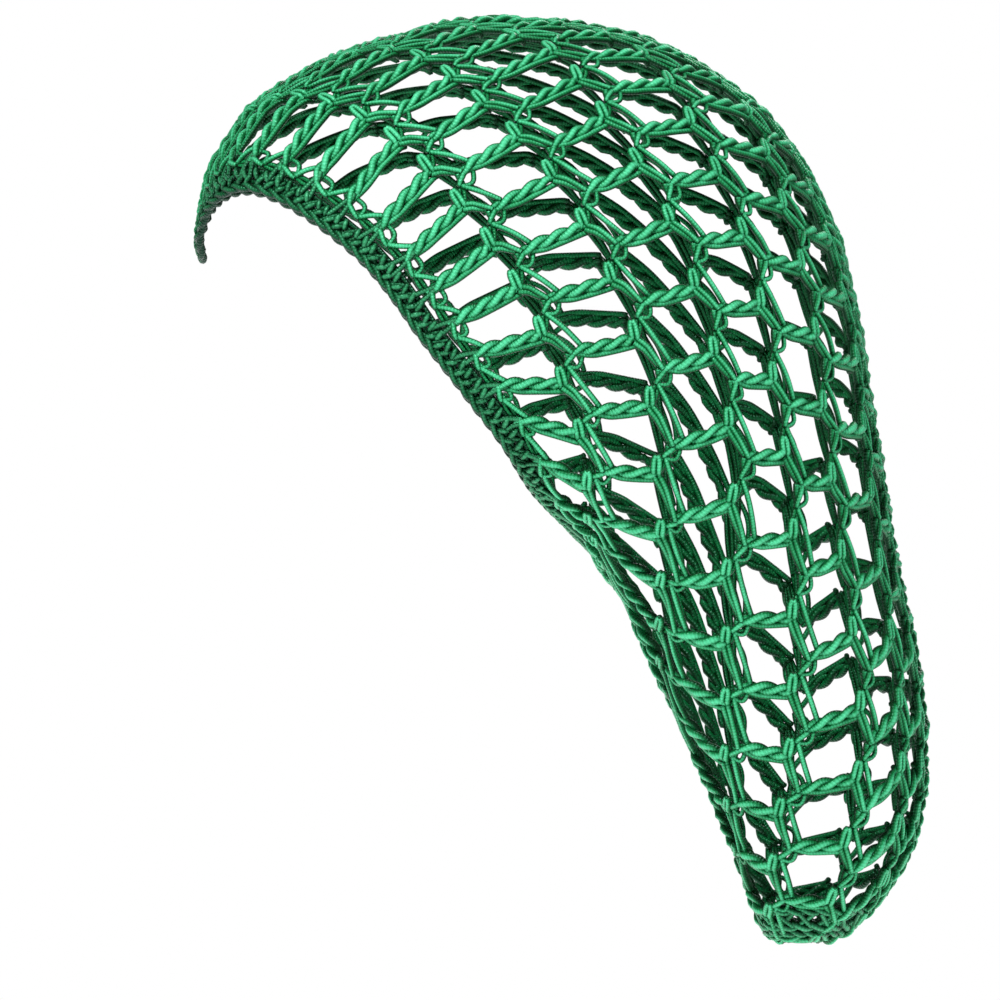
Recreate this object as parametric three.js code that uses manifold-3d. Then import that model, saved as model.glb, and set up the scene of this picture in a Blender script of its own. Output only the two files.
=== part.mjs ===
// Crochet hair snood, worn: a pierced net over the crown that hangs behind as a long
// pouch, a dense band round the face, an edge chain and a gathered tip.
// Millimetres, +Z up, +X to the back of the head, wearer faces -X.
// The origin is the inside of the crown on the middle plane, where the head carries it.

import * as THREE from "three";
import { mergeVertices } from "three/addons/utils/BufferGeometryUtils.js";
import Module from "manifold-3d";

const wasm = await Module();
wasm.setup();

// Driving sizes of the stretched form (the middle of the knit)
const LENGTH = 262; // forehead to the back of the pouch
const HEIGHT = 330; // crown to the tip of the pouch
const WIDTH = 160; // side to side over the ears
const FOREHEAD_X = -109; // forehead, in front of the origin
const FRONT_ROUNDING = 3.2; // exponent of a level's front half, 2 is an ellipse
const BACK_ROUNDING = 2.2; // exponent of a level's back half

// Sizes of the knit
const NET_THICKNESS = 3;
const STRAND_WIDTH = 7; // bar and chain between two gaps
const BAND_WIDTH = 9.4; // face edge to the net, with the edge chain
const BAND_THICKNESS = 3.4;
const RIM_DIAMETER = 3;
const GATHER_HEIGHT = 10; // closed knit at the tip
const GATHER_THICKNESS = 3.2;
const CLEARANCE = 0.3; // between two touching pieces

// Layout of the net
const NET_ROWS = 7; // rows of gaps from the band to the seam at the back
const ROW_GAPS = 17; // gaps round one row
const ZIGZAG = 0.14; // share of a row by which bars and chains shift its line
const LEAST_OPEN = 0.45; // least share of a small cell that its gap takes
const SMALLEST_CELL = 2; // middle to edge of the smallest cell that is cut
const STEPS_PER_GAP = 4;
const RING_STEPS = ROW_GAPS * STEPS_PER_GAP;

// The form, a row per level. drop is a share of HEIGHT from the crown down, front, wide
// and back are shares of LENGTH from the forehead, half is a share of half of WIDTH.
const LEVELS = [
  { drop: 0.0, front: 0.415, wide: 0.415, back: 0.415, half: 0.0 },
  { drop: 0.02, front: 0.274, wide: 0.43, back: 0.605, half: 0.35 },
  { drop: 0.05, front: 0.165, wide: 0.435, back: 0.687, half: 0.56 },
  { drop: 0.1, front: 0.07, wide: 0.44, back: 0.773, half: 0.76 },
  { drop: 0.16, front: 0.023, wide: 0.455, back: 0.829, half: 0.89 },
  { drop: 0.24, front: 0.0, wide: 0.47, back: 0.876, half: 0.97 },
  { drop: 0.34, front: 0.03, wide: 0.51, back: 0.905, half: 1.0 },
  { drop: 0.42, front: 0.17, wide: 0.55, back: 0.92, half: 0.995 },
  { drop: 0.48, front: 0.345, wide: 0.61, back: 0.934, half: 0.97 },
  { drop: 0.52, front: 0.45, wide: 0.655, back: 0.941, half: 0.93 },
  { drop: 0.555, front: 0.525, wide: 0.7, back: 0.948, half: 0.88 },
  { drop: 0.6, front: 0.566, wide: 0.735, back: 0.958, half: 0.8 },
  { drop: 0.63, front: 0.592, wide: 0.755, back: 0.966, half: 0.76 },
  { drop: 0.68, front: 0.62, wide: 0.79, back: 0.981, half: 0.7 },
  { drop: 0.76, front: 0.665, wide: 0.825, back: 0.995, half: 0.61 },
  { drop: 0.84, front: 0.711, wide: 0.85, back: 0.995, half: 0.53 },
  { drop: 0.9, front: 0.74, wide: 0.86, back: 0.978, half: 0.45 },
  { drop: 0.95, front: 0.763, wide: 0.855, back: 0.94, half: 0.34 },
  { drop: 0.98, front: 0.777, wide: 0.845, back: 0.906, half: 0.23 },
  { drop: 0.993, front: 0.786, wide: 0.835, back: 0.886, half: 0.16 },
  { drop: 0.998, front: 0.794, wide: 0.83, back: 0.868, half: 0.1 },
  { drop: 1.0, front: 0.828, wide: 0.828, back: 0.828, half: 0.0 },
];

// Lines of the knit seen from the side, a row per line, each point as shares of LENGTH
// from the forehead and of HEIGHT from the crown. The first is the face edge of the band,
// the others are the lines between the stacks of bars, counted from the band. line is the
// place in that count.
const LINES = [
  {
    line: "rim", top: [-0.003, 0.262], crown: [0.015, 0.209], shoulder: [0.076, 0.187],
    side: [0.197, 0.243], waist: [0.319, 0.361], low: [0.429, 0.476], bottom: [0.52, 0.555],
  },
  {
    line: 1, top: [0.023, 0.145], crown: [0.138, 0.079], shoulder: [0.252, 0.109],
    side: [0.377, 0.204], waist: [0.477, 0.331], low: [0.536, 0.467], bottom: [0.571, 0.617],
  },
  {
    line: 2, top: [0.083, 0.085], crown: [0.294, 0.034], shoulder: [0.407, 0.094],
    side: [0.525, 0.203], waist: [0.615, 0.364], low: [0.641, 0.544], bottom: [0.652, 0.753],
  },
  {
    line: 3, top: [0.188, 0.038], crown: [0.481, 0.026], shoulder: [0.567, 0.106],
    side: [0.664, 0.235], waist: [0.73, 0.424], low: [0.73, 0.675], bottom: [0.752, 0.942],
  },
  {
    line: 4, top: [0.319, 0.005], crown: [0.608, 0.034], shoulder: [0.689, 0.126],
    side: [0.762, 0.262], waist: [0.806, 0.467], low: [0.821, 0.729], bottom: [0.794, 0.989],
  },
  {
    line: 5, top: [0.457, -0.004], crown: [0.721, 0.072], shoulder: [0.795, 0.18],
    side: [0.849, 0.355], waist: [0.873, 0.525], low: [0.911, 0.74], bottom: [0.845, 0.999],
  },
  {
    line: 6, top: [0.601, 0.015], crown: [0.809, 0.14], shoulder: [0.854, 0.222],
    side: [0.897, 0.353], waist: [0.922, 0.522], low: [0.96, 0.74], bottom: [0.9, 0.984],
  },
];
const POINT_NAMES = ["top", "crown", "shoulder", "side", "waist", "low", "bottom"];
const SEAM = { line: 8, top: 0.18, bottom: 0.95 }; // the last line, down the middle of the back, as drops

const MIDDLE = { first: 0.3, last: 0.85 }; // drops between which the form is turned round its own level

// Helpers for the form

function mix(a, b, share) {
  return a + (b - a) * share;
}

// Levels are spaced by an angle, so that the crown and the tip are round
function poleAngle(drop) {
  return Math.acos(1 - 2 * Math.min(1, Math.max(0, drop)));
}

function levelAt(drop) {
  const angle = poleAngle(drop);
  let row = 1;
  while (row < LEVELS.length - 1 && poleAngle(LEVELS[row].drop) < angle) row += 1;
  const start = poleAngle(LEVELS[row - 1].drop);
  const end = poleAngle(LEVELS[row].drop);
  const share = (angle - start) / (end - start);
  const level = {};
  for (const column of ["front", "wide", "back", "half"]) {
    level[column] = mix(LEVELS[row - 1][column], LEVELS[row][column], share);
  }
  return level;
}

// Half of the width of the form where the side view shows a point, below 0 outside it
function depthAt(along, drop) {
  if (drop <= 0 || drop >= 1) return -1;
  const level = levelAt(drop);
  const ahead = along < level.wide;
  const reach = ahead ? level.wide - level.front : level.back - level.wide;
  const power = ahead ? FRONT_ROUNDING : BACK_ROUNDING;
  const share = Math.abs(along - level.wide) / reach;
  if (share >= 1) return -1;
  return (level.half * WIDTH / 2) * Math.pow(1 - Math.pow(share, power), 1 / power);
}

function place(along, depth, drop) {
  return new THREE.Vector3(FOREHEAD_X + along * LENGTH, -depth, NET_THICKNESS / 2 - drop * HEIGHT);
}

// Point on the form at a level, turned by an angle from the front (-90) to the back (90)
function placeOnLevel(drop, angle) {
  const level = levelAt(drop);
  const ahead = angle < 0;
  const reach = ahead ? level.front - level.wide : level.back - level.wide;
  const power = ahead ? FRONT_ROUNDING : BACK_ROUNDING;
  const along = level.wide + reach * Math.pow(Math.abs(Math.sin(angle)), 2 / power);
  const depth = (level.half * WIDTH / 2) * Math.pow(Math.max(0, Math.cos(angle)), 2 / power);
  return place(along, depth, drop);
}

// Moves a point that is near the form onto it, straight out from the form's middle
function ontoForm(point) {
  const drop = (NET_THICKNESS / 2 - point.z) / HEIGHT;
  const middleDrop = Math.min(MIDDLE.last, Math.max(MIDDLE.first, drop));
  const middle = place(levelAt(middleDrop).wide, 0, middleDrop);
  const outward = new THREE.Vector3().subVectors(point, middle);
  const inside = (scale) => {
    const at = middle.clone().addScaledVector(outward, scale);
    const depth = depthAt((at.x - FOREHEAD_X) / LENGTH, (NET_THICKNESS / 2 - at.z) / HEIGHT);
    return depth >= Math.abs(at.y);
  };
  let inner = 0.2;
  let outer = 3;
  for (let pass = 0; pass < 30; pass += 1) {
    const half = (outer + inner) / 2;
    if (inside(half)) inner = half;
    else outer = half;
  }
  return middle.addScaledVector(outward, inner);
}

// A line's named points as a closed curve in space, through the near side and the far side
function lineCurve(line) {
  const row = LINES.find((candidate) => candidate.line === line);
  const near = POINT_NAMES.map((name) => {
    const [along, drop] = row[name];
    const onMiddle = name === "top" || name === "bottom";
    return place(along, onMiddle ? 0 : Math.max(0, depthAt(along, drop)), drop);
  });
  const far = near.slice(1, -1).reverse().map((point) => new THREE.Vector3(point.x, -point.y, point.z));
  return new THREE.CatmullRomCurve3([...near, ...far], true, "centripetal");
}

const SAMPLES = 240;

function measured(trace) {
  const run = [0];
  for (let i = 1; i < trace.length; i += 1) run.push(run[i - 1] + trace[i].distanceTo(trace[i - 1]));
  return { trace, run };
}

// One side of a line, from the top middle to the bottom middle, as points in space
function traceSide(line) {
  const trace = [];
  if (line === SEAM.line) {
    for (let i = 0; i <= SAMPLES; i += 1) {
      trace.push(placeOnLevel(mix(SEAM.top, SEAM.bottom, i / SAMPLES), Math.PI / 2));
    }
    return measured(trace);
  }
  const curve = lineCurve(line);
  for (let i = 0; i <= SAMPLES; i += 1) trace.push(ontoForm(curve.getPoint((i / SAMPLES) / 2)));
  trace[0].y = 0;
  trace[SAMPLES].y = 0;
  return measured(trace);
}

const sides = new Map();

function alongSide(line, share) {
  if (!sides.has(line)) sides.set(line, traceSide(line));
  const { trace, run } = sides.get(line);
  const target = share * run[run.length - 1];
  let i = 1;
  while (i < run.length - 1 && run[i] < target) i += 1;
  return trace[i - 1].clone().lerp(trace[i], (target - run[i - 1]) / (run[i] - run[i - 1]));
}

// Point of the rim at a share of one side, which runs on to the far side past 0 and 1
function rimAt(share) {
  const past = share < 0 || share > 1;
  const point = alongSide("rim", share < 0 ? -share : Math.min(share, 2 - share));
  if (past) point.y = -point.y;
  return point;
}

// The rim, and the way across the band at a share of one side
function bandFrameOnSide(share) {
  const reach = 0.012;
  const rim = rimAt(share);
  const run = new THREE.Vector3().subVectors(rimAt(share + reach), rimAt(share - reach)).normalize();
  const drop = (NET_THICKNESS / 2 - rim.z) / HEIGHT;
  const outward = new THREE.Vector3().subVectors(rim, place(levelAt(drop).wide, 0, drop)).normalize();
  const across = new THREE.Vector3().crossVectors(outward, run).normalize();
  const netEdge = ontoForm(rim.clone().addScaledVector(across, BAND_WIDTH));
  across.subVectors(netEdge, rim).normalize();
  return { rim, run, across, netEdge };
}

// Point of the form on a line, counted from the band, at a share of one side
function onSide(line, share) {
  if (line === 0) return bandFrameOnSide(share).netEdge;
  const traced = [0, ...LINES.slice(1).map((row) => row.line), SEAM.line];
  if (traced.includes(line)) return alongSide(line, share);
  const next = traced.findIndex((candidate) => candidate > line);
  const before = onSide(traced[next - 1], share);
  const after = onSide(traced[next], share);
  return ontoForm(before.lerp(after, (line - traced[next - 1]) / (traced[next] - traced[next - 1])));
}

// Point of the form on a line, at a share of the whole ring round both sides
function onRing(line, share) {
  const far = share > 0.5;
  const point = onSide(line, far ? 2 - 2 * share : 2 * share);
  if (far) point.y = -point.y;
  return point;
}

// Helpers for meshes

function solidGeometry(vertices, triangles) {
  const geometry = new THREE.BufferGeometry();
  const positions = vertices.flatMap((v) => [v.x, v.y, v.z]);
  let volume = 0;
  for (const [a, b, c] of triangles) {
    volume += vertices[a].dot(new THREE.Vector3().crossVectors(vertices[b], vertices[c]));
  }
  const facing = volume < 0 ? triangles.map(([a, b, c]) => [a, c, b]) : triangles;
  geometry.setAttribute("position", new THREE.Float32BufferAttribute(positions, 3));
  geometry.setIndex(facing.flat());
  geometry.computeVertexNormals();
  return geometry;
}

// A closed ring through sections of equally many points
function ringGeometry(sections) {
  const count = sections[0].length;
  const triangles = [];
  sections.forEach((_, i) => {
    const next = ((i + 1) % sections.length) * count;
    for (let j = 0; j < count; j += 1) {
      const k = (j + 1) % count;
      triangles.push([i * count + j, next + j, next + k], [i * count + j, next + k, i * count + k]);
    }
  });
  return solidGeometry(sections.flat(), triangles);
}

function toManifold(geometry) {
  const bare = geometry.clone();
  bare.deleteAttribute("normal");
  bare.deleteAttribute("uv");
  const merged = mergeVertices(bare, 1e-4);
  return new wasm.Manifold(new wasm.Mesh({
    numProp: 3,
    vertProperties: new Float32Array(merged.attributes.position.array),
    triVerts: new Uint32Array(merged.index.array),
  }));
}

function fromManifold(solid) {
  const mesh = solid.getMesh();
  const geometry = new THREE.BufferGeometry();
  const positions = new Float32Array((mesh.vertProperties.length / mesh.numProp) * 3);
  for (let i = 0; i < positions.length / 3; i += 1) {
    for (let axis = 0; axis < 3; axis += 1) positions[3 * i + axis] = mesh.vertProperties[i * mesh.numProp + axis];
  }
  geometry.setAttribute("position", new THREE.BufferAttribute(positions, 3));
  geometry.setIndex(new THREE.BufferAttribute(new Uint32Array(mesh.triVerts), 1));
  geometry.computeVertexNormals();
  return geometry;
}

// The net: one thin shell with a six-sided gap in every cell

const gatherZ = NET_THICKNESS / 2 - HEIGHT + GATHER_HEIGHT;

function lineOfRow(row) {
  return (row * SEAM.line) / NET_ROWS;
}

// First step of a bar in a row, so that each row stands half a gap off the last
function firstBar(row) {
  return row % 2 === 0 ? 0 : STEPS_PER_GAP / 2;
}

// The zigzag: a line bends towards the row whose bar starts at this step
function lineBend(row, step) {
  if (row === 0 || row === NET_ROWS) return 0;
  const inCell = (step - firstBar(row) + RING_STEPS) % STEPS_PER_GAP;
  if (inCell === 0) return ZIGZAG;
  return inCell === STEPS_PER_GAP / 2 ? -ZIGZAG : 0;
}

function netCells() {
  const points = [];
  const index = new Map();
  const vertex = (row, step) => {
    const mirrored = row === NET_ROWS && step % RING_STEPS > RING_STEPS / 2;
    const at = mirrored ? RING_STEPS - (step % RING_STEPS) : step % RING_STEPS;
    const key = `${row}/${at}`;
    if (!index.has(key)) {
      const bend = Number.isInteger(row) ? lineBend(row, at) : 0;
      index.set(key, points.length);
      points.push(onRing(lineOfRow(row + bend), at / RING_STEPS));
    }
    return index.get(key);
  };
  const cells = [];
  for (let row = 0; row < NET_ROWS; row += 1) {
    for (let gap = 0; gap < ROW_GAPS; gap += 1) {
      const start = firstBar(row) + gap * STEPS_PER_GAP;
      const end = start + STEPS_PER_GAP;
      const border = [];
      for (let step = start; step <= end; step += 1) border.push(vertex(row, step));
      border.push(vertex(row + 0.5, end));
      for (let step = end; step >= start; step -= 1) border.push(vertex(row + 1, step));
      border.push(vertex(row + 0.5, start));
      cells.push({ border, centre: onRing(lineOfRow(row + 0.5), ((start + end) / 2 / RING_STEPS) % 1) });
    }
  }
  return { points, cells };
}

function borderNormals(points, cells) {
  const normals = points.map(() => new THREE.Vector3());
  for (const cell of cells) {
    cell.normal = new THREE.Vector3();
    cell.border.forEach((from, i) => {
      const to = cell.border[(i + 1) % cell.border.length];
      const toFrom = new THREE.Vector3().subVectors(points[from], cell.centre);
      const toNext = new THREE.Vector3().subVectors(points[to], cell.centre);
      const facing = toFrom.cross(toNext);
      cell.normal.add(facing);
      normals[from].add(facing);
      normals[to].add(facing);
    });
    cell.normal.normalize();
  }
  normals.forEach((normal) => normal.normalize());
  return normals;
}

// The net's edge is cut square to the band that it meets
function squareEdge(edge, normals) {
  edge.forEach((vertex, step) => {
    const facing = bandFrame(step).facing;
    if (facing.dot(normals[vertex]) < 0) facing.negate();
    normals[vertex].copy(facing);
  });
}

function netGeometry() {
  const { points, cells } = netCells();
  const normals = borderNormals(points, cells);
  const edge = cells.slice(0, ROW_GAPS).flatMap((cell) => cell.border.slice(0, STEPS_PER_GAP));
  squareEdge(edge, normals);
  const half = NET_THICKNESS / 2;
  const vertices = [];
  points.forEach((point, i) => vertices.push(point.clone().addScaledVector(normals[i], half)));
  points.forEach((point, i) => vertices.push(point.clone().addScaledVector(normals[i], -half)));
  const inner = points.length;
  const triangles = [];
  const quad = (a, b, c, d) => triangles.push([a, b, c], [a, c, d]);
  const floor = gatherZ + STRAND_WIDTH / 2;
  for (const { border, centre, normal } of cells) {
    const shares = border.map((i) => {
      const reach = points[i].distanceTo(centre);
      const share = reach < SMALLEST_CELL ? 0 : Math.max(LEAST_OPEN, (reach - STRAND_WIDTH / 2) / reach);
      return points[i].z < floor ? Math.min(share, (centre.z - floor) / (centre.z - points[i].z)) : share;
    });
    const open = Math.min(...shares) > LEAST_OPEN / 3;
    const base = vertices.length;
    if (open) {
      for (const side of [half, -half]) {
        border.forEach((i, j) => {
          const facing = normal.clone().lerp(normals[i], shares[j]).normalize();
          vertices.push(centre.clone().lerp(points[i], shares[j]).addScaledVector(facing, side));
        });
      }
    } else {
      vertices.push(centre.clone().addScaledVector(normal, half), centre.clone().addScaledVector(normal, -half));
    }
    border.forEach((from, i) => {
      const j = (i + 1) % border.length;
      const to = border[j];
      if (open) {
        const under = base + border.length;
        quad(from, to, base + j, base + i);
        quad(inner + to, inner + from, under + i, under + j);
        quad(base + i, base + j, under + j, under + i);
      } else {
        triangles.push([from, to, base], [inner + to, inner + from, base + 1]);
      }
    });
  }
  edge.forEach((from, i) => {
    const to = edge[(i + 1) % edge.length];
    quad(to, from, inner + from, inner + to);
  });
  const shell = toManifold(solidGeometry(vertices, triangles));
  const below = new THREE.BoxGeometry(LENGTH, WIDTH, HEIGHT);
  below.translate(FOREHEAD_X + LENGTH, 0, gatherZ - HEIGHT / 2);
  return fromManifold(shell.subtract(toManifold(below)));
}

// The band and the edge chain, side by side on the form from the rim to the net

function bandFrame(step) {
  const share = step / RING_STEPS;
  const far = share > 0.5;
  const { rim, run, across, netEdge } = bandFrameOnSide(far ? 2 - 2 * share : 2 * share);
  const facing = new THREE.Vector3().crossVectors(across, run).normalize();
  if (far) [rim, across, netEdge, facing].forEach((vector) => vector.setY(-vector.y));
  return { rim, across, facing, width: netEdge.distanceTo(rim) };
}

function bandPoint(frame, across, facing) {
  return frame.rim.clone().addScaledVector(frame.across, across).addScaledVector(frame.facing, facing);
}

function bandGeometry() {
  const half = BAND_THICKNESS / 2;
  const bevel = BAND_THICKNESS / 3;
  const sections = [];
  for (let step = 0; step < RING_STEPS; step += 1) {
    const frame = bandFrame(step);
    const start = RIM_DIAMETER + CLEARANCE;
    const end = frame.width - CLEARANCE;
    sections.push([
      bandPoint(frame, start, 0),
      bandPoint(frame, start + bevel, half),
      bandPoint(frame, end - bevel, half),
      bandPoint(frame, end, 0),
      bandPoint(frame, end - bevel, -half),
      bandPoint(frame, start + bevel, -half),
    ]);
  }
  return ringGeometry(sections);
}

function rimGeometry() {
  const corners = 8;
  const radius = RIM_DIAMETER / 2;
  const sections = [];
  for (let step = 0; step < RING_STEPS; step += 1) {
    const frame = bandFrame(step);
    const section = [];
    for (let corner = 0; corner < corners; corner += 1) {
      const angle = (2 * Math.PI * corner) / corners;
      section.push(bandPoint(frame, radius + radius * Math.cos(angle), radius * Math.sin(angle)));
    }
    sections.push(section);
  }
  return ringGeometry(sections);
}

// The gathered tip: a small cup of closed knit below the net

function gatherRing(height, offset, corners) {
  const drop = 1 - height / HEIGHT;
  const level = levelAt(drop);
  const middle = place(level.wide, 0, drop);
  const ring = [];
  for (let corner = 0; corner < corners; corner += 1) {
    const turn = (2 * Math.PI * corner) / corners;
    const side = Math.asin(Math.sin(turn));
    const point = placeOnLevel(drop, side);
    if (Math.cos(turn) < 0) point.y = -point.y;
    const outward = new THREE.Vector3().subVectors(point, middle);
    outward.z = 0;
    ring.push(point.addScaledVector(outward.normalize(), offset));
  }
  return ring;
}

function gatherGeometry() {
  const corners = 28;
  const half = GATHER_THICKNESS / 2;
  const top = GATHER_HEIGHT - CLEARANCE;
  const shares = [1, 0.72, 0.46, 0.25, 0.1];
  const rings = shares.map((share) => gatherRing(top * share, half, corners));
  const innerRings = shares.map((share) => gatherRing(top * share + half * (1 - share), -half, corners));
  const floor = gatherRing(0, 0, corners)[0];
  const vertices = [...rings.flat(), ...innerRings.flat()];
  const outerPole = vertices.push(floor.clone().add(new THREE.Vector3(0, 0, -half))) - 1;
  const innerPole = vertices.push(floor.clone().add(new THREE.Vector3(0, 0, half + top * 0.1))) - 1;
  const triangles = [];
  const quad = (a, b, c, d) => triangles.push([a, b, c], [a, c, d]);
  const under = rings.length * corners;
  for (let j = 0; j < corners; j += 1) {
    const k = (j + 1) % corners;
    for (let i = 0; i < rings.length - 1; i += 1) {
      const here = i * corners;
      const next = here + corners;
      quad(here + j, here + k, next + k, next + j);
      quad(under + here + k, under + here + j, under + next + j, under + next + k);
    }
    const last = (rings.length - 1) * corners;
    triangles.push([last + j, last + k, outerPole], [under + last + k, under + last + j, innerPole]);
    quad(k, j, under + j, under + k);
  }
  return solidGeometry(vertices, triangles);
}

// The assembly

function yarnMaterial(color, roughness) {
  return new THREE.MeshStandardMaterial({ color, roughness, metalness: 0 });
}

function piece(name, geometry, material) {
  const mesh = new THREE.Mesh(geometry, material);
  mesh.name = name;
  return mesh;
}

const snood = new THREE.Group();
snood.add(piece("net", netGeometry(), yarnMaterial(0x17a060, 0.5)));
snood.add(piece("band", bandGeometry(), yarnMaterial(0x149455, 0.55)));
snood.add(piece("rim_chain", rimGeometry(), yarnMaterial(0x0f7a45, 0.5)));
snood.add(piece("tip_gather", gatherGeometry(), yarnMaterial(0x128a50, 0.55)));

export default snood;
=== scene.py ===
# Crochet hair snood: the yarn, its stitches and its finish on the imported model.
# The knit is worked out in millimetres and turned into metres when a mesh is made.
import math

import bpy
import numpy as np
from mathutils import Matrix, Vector


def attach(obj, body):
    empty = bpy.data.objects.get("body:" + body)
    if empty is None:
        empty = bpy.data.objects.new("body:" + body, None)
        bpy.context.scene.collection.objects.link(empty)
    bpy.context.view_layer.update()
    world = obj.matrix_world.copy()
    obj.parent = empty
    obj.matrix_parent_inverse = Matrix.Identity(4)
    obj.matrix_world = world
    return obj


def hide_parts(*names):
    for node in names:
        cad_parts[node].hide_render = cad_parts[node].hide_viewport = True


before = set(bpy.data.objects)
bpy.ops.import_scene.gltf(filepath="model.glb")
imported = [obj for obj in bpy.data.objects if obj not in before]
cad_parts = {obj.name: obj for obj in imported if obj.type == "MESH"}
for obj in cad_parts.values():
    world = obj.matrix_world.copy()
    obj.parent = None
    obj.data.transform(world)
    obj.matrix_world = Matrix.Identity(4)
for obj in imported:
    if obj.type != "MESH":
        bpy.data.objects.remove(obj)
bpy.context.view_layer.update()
METRES = 0.001

# Sizes of the stretched form, as in the part
LENGTH = 262.0
HEIGHT = 330.0
WIDTH = 160.0
FOREHEAD_X = -109.0
FRONT_ROUNDING = 3.2
BACK_ROUNDING = 2.2
NET_THICKNESS = 3.0
BAND_WIDTH = 9.4

# Columns: drop from the crown as a share of HEIGHT, then front, widest place and back as
# shares of LENGTH from the forehead, then half width as a share of half of WIDTH
LEVELS = (
    (0.0, 0.415, 0.415, 0.415, 0.0),
    (0.02, 0.274, 0.43, 0.605, 0.35),
    (0.05, 0.165, 0.435, 0.687, 0.56),
    (0.1, 0.07, 0.44, 0.773, 0.76),
    (0.16, 0.023, 0.455, 0.829, 0.89),
    (0.24, 0.0, 0.47, 0.876, 0.97),
    (0.34, 0.03, 0.51, 0.905, 1.0),
    (0.42, 0.17, 0.55, 0.92, 0.995),
    (0.48, 0.345, 0.61, 0.934, 0.97),
    (0.52, 0.45, 0.655, 0.941, 0.93),
    (0.555, 0.525, 0.7, 0.948, 0.88),
    (0.6, 0.566, 0.735, 0.958, 0.8),
    (0.63, 0.592, 0.755, 0.966, 0.76),
    (0.68, 0.62, 0.79, 0.981, 0.7),
    (0.76, 0.665, 0.825, 0.995, 0.61),
    (0.84, 0.711, 0.85, 0.995, 0.53),
    (0.9, 0.74, 0.86, 0.978, 0.45),
    (0.95, 0.763, 0.855, 0.94, 0.34),
    (0.98, 0.777, 0.845, 0.906, 0.23),
    (0.993, 0.786, 0.835, 0.886, 0.16),
    (0.998, 0.794, 0.83, 0.868, 0.1),
    (1.0, 0.828, 0.828, 0.828, 0.0),
)

# Lines of the knit seen from the side, from the top middle down to the bottom middle, as
# shares of LENGTH from the forehead and of HEIGHT from the crown
POINT_COLUMNS = ("top", "crown", "shoulder", "side", "waist", "low", "bottom")
RIM = ((-0.003, 0.262), (0.015, 0.209), (0.076, 0.187), (0.197, 0.243), (0.319, 0.361), (0.429, 0.476),
       (0.52, 0.555))
LINES = {
    1: ((0.035, 0.128), (0.138, 0.079), (0.252, 0.109), (0.377, 0.204), (0.477, 0.331), (0.536, 0.467),
        (0.571, 0.617)),
    2: ((0.13, 0.063), (0.294, 0.034), (0.407, 0.094), (0.525, 0.203), (0.615, 0.364), (0.641, 0.544),
        (0.652, 0.753)),
    3: ((0.28, 0.018), (0.481, 0.026), (0.567, 0.106), (0.664, 0.235), (0.73, 0.424), (0.73, 0.675),
        (0.752, 0.942)),
    4: ((0.42, 0.0), (0.608, 0.034), (0.689, 0.126), (0.762, 0.262), (0.806, 0.467), (0.821, 0.729),
        (0.794, 0.989)),
    5: ((0.57, 0.012), (0.721, 0.072), (0.795, 0.18), (0.849, 0.355), (0.873, 0.525), (0.911, 0.74),
        (0.845, 0.999)),
    6: ((0.68, 0.047), (0.809, 0.14), (0.854, 0.222), (0.897, 0.353), (0.922, 0.522), (0.96, 0.74),
        (0.9, 0.984)),
}
SEAM = 8  # the last line, down the middle of the back
SEAM_DROPS = (0.18, 0.95)
MIDDLE_DROPS = (0.3, 0.85)

# Each stack of bars runs right round. A row gives how many bars have been passed on a line
# at the top, a quarter, half and three quarters of the way down, and at the bottom.
BARS_ROUND = 37
BARS_PASSED = {
    1: (-3.4, 2.8, 7.7, 12.0, 16.6),
    2: (-2.6, 3.6, 8.2, 12.1, 16.6),
    3: (-1.2, 4.7, 9.1, 13.0, 17.6),
    4: (-0.7, 5.2, 9.4, 13.1, 17.8),
    5: (0.1, 5.6, 9.6, 13.2, 17.3),
    6: (0.7, 5.9, 9.7, 13.2, 17.3),
    7: (0.4, 5.7, 9.6, 13.1, 17.3),
    8: (0.0, 5.4, 9.4, 12.9, 17.0),
}
# The same on the inner edge of the band, where the first stack starts
BAND_PASSED = (-4.8, 1.9, 7.3, 12.6, 17.6)
# How far below a bar's end the next stack's bar starts, in bars, at the same five places
LAG = (0.22, 0.22, 0.2, 0.48, 0.32)
# and on the far side, where the ring runs upwards, at three quarters, half and a quarter
HIDDEN_LAG = (-0.3, -0.5, -0.2)

BAR_START = 0.13  # rows behind the line
BAR_END = -0.06  # rows before the line
FIRST_BAR_START = 0.04  # rows behind the band
SHORT_OF_SEAM = 0.001  # rows before the seam
KNOT_SHARE = 0.42  # where thin strands leave the line, from a bar's start to the end below
LANDING = 0.22  # where a thin strand meets the next bar
NUB_LENGTH = 7.2
THIN_STRAND = 1.05
TWIST_PER_MM = 0.068
STITCH_PITCH = 4.3
RIM_TWIST = 12.5
LEG_SPREAD = 2.0
TIP_ROPES = ((10.3, 1.2, 11.0), (4.9, 1.4, 12.0), (2.5, 1.3, 9.0), (0.3, 1.2, 8.0))  # height, radius, period
TIP_SLANTS = (5.2, 9.8)  # heights of the feet and heads of the slanting strands
TIP_STRANDS = 17


# The form, found from its levels

LEVEL = np.array(LEVELS)
POLE_ANGLES = np.arccos(1 - 2 * LEVEL[:, 0])
NO_LENGTH = 1e-12
LEAST_REACH = 1e-9
LEAST_SLOPE_REACH = 1e-3
SLOPE_DROPS = (0.002, 0.998)
SLOPE_STEP = 1.5
SEARCH_FROM = 0.2
SEARCH_TO = 3.0
SEARCH_HALVINGS = 26
MIRROR = np.array([1, -1, 1])


def level_at(drop):
    """Front, widest place, back and half width of the form at a drop."""
    angle = np.arccos(1 - 2 * np.clip(drop, 0, 1))
    return [np.interp(angle, POLE_ANGLES, column) for column in LEVEL[:, 1:].T]


def reach_and_power(ahead, front, wide, back):
    """How far the form reaches from its widest place, and its rounding, ahead or behind."""
    return np.where(ahead, wide - front, back - wide), np.where(ahead, FRONT_ROUNDING, BACK_ROUNDING)


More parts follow.
